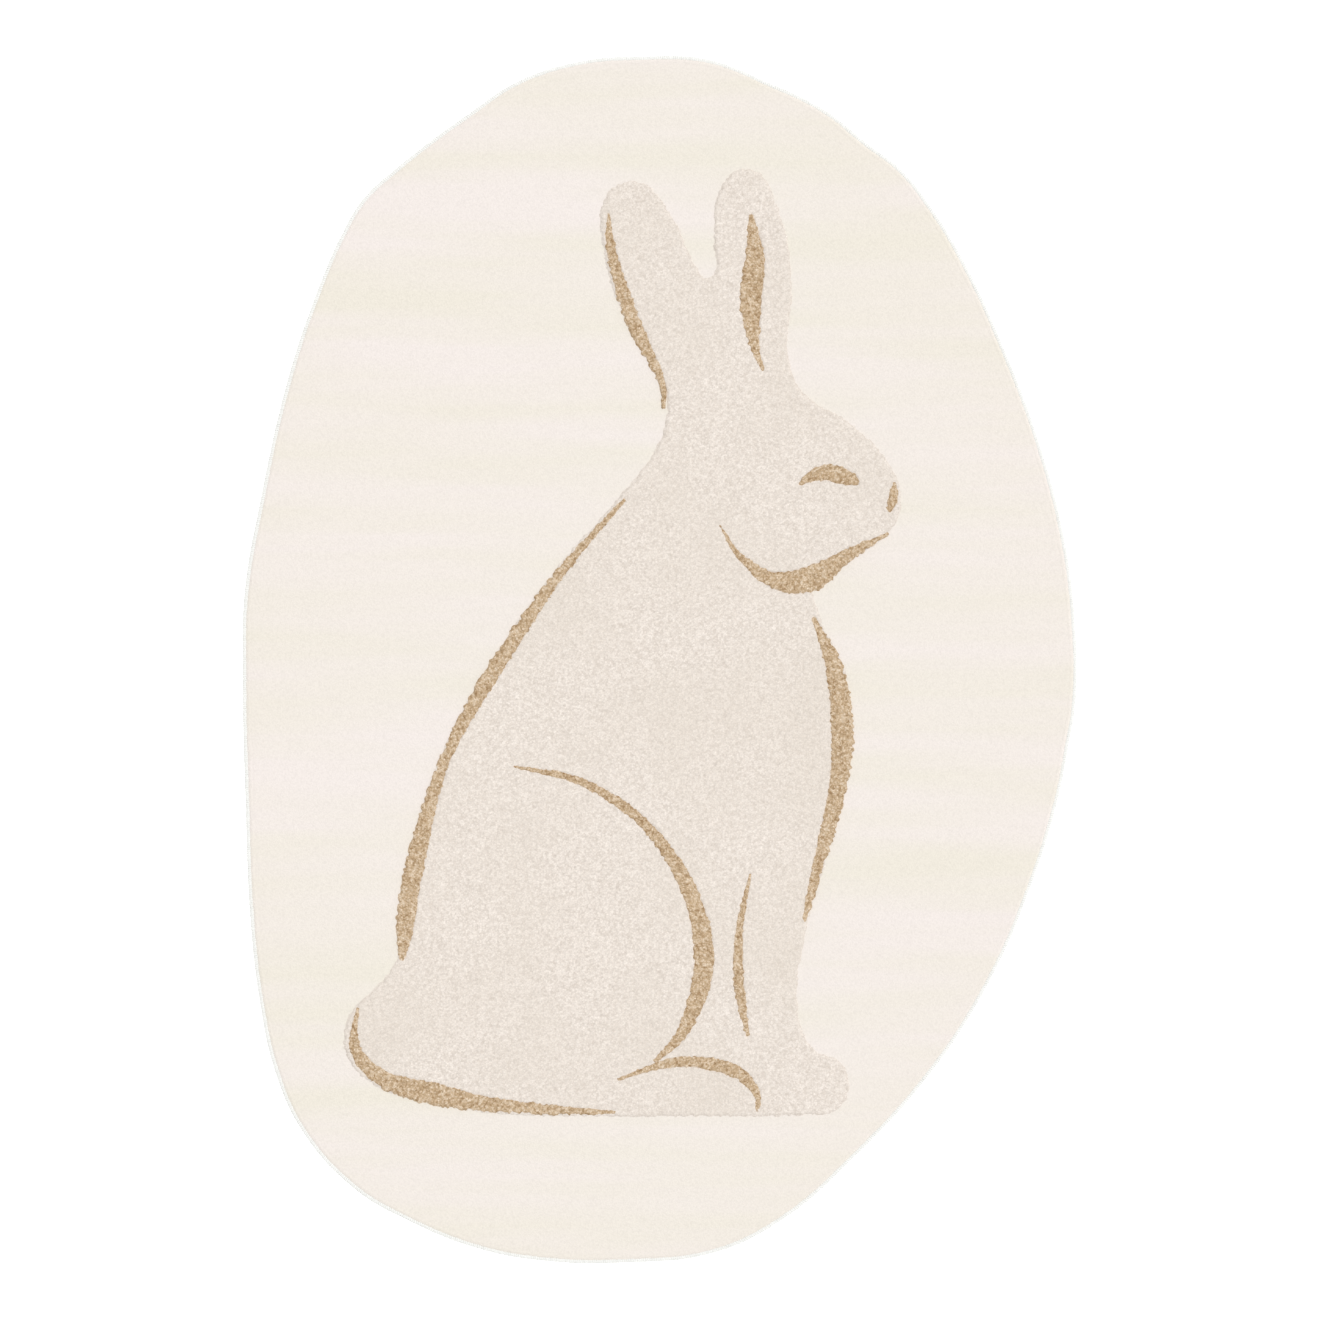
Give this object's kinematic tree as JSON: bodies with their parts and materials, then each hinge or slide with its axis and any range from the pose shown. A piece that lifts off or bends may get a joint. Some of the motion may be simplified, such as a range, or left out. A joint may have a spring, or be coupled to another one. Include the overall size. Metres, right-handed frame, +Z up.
{
  "type": "kids rug with an animal picture",
  "caption": "Flat pile rug in an uneven pebble outline, with a sitting hare in raised curled pile and an overlocked edge.",
  "frame": {"origin": "middle of the rug's bounding box, at the underside that lies on the floor", "axes": "+Z up out of the pile, +Y along the rug's length towards the ears of the figure, +X across it"},
  "size_m": [1.1754, 1.7003, 0.012],
  "materials": {
    "cream_pile": "low cut pile carpet, matt",
    "greige_pile": "longer curled pile of the figure, matt",
    "tan_pile": "curled tan yarn of the figure's lines, matt, flecked lighter and darker",
    "woven_backing": "plain woven underside, natural, matt",
    "edge_yarn": "off-white overlocking yarn, matt"
  },
  "bodies": {
    "root": {"carpet": "cream_pile", "overlocked_edge": "edge_yarn"}
  },
  "joints": []
}
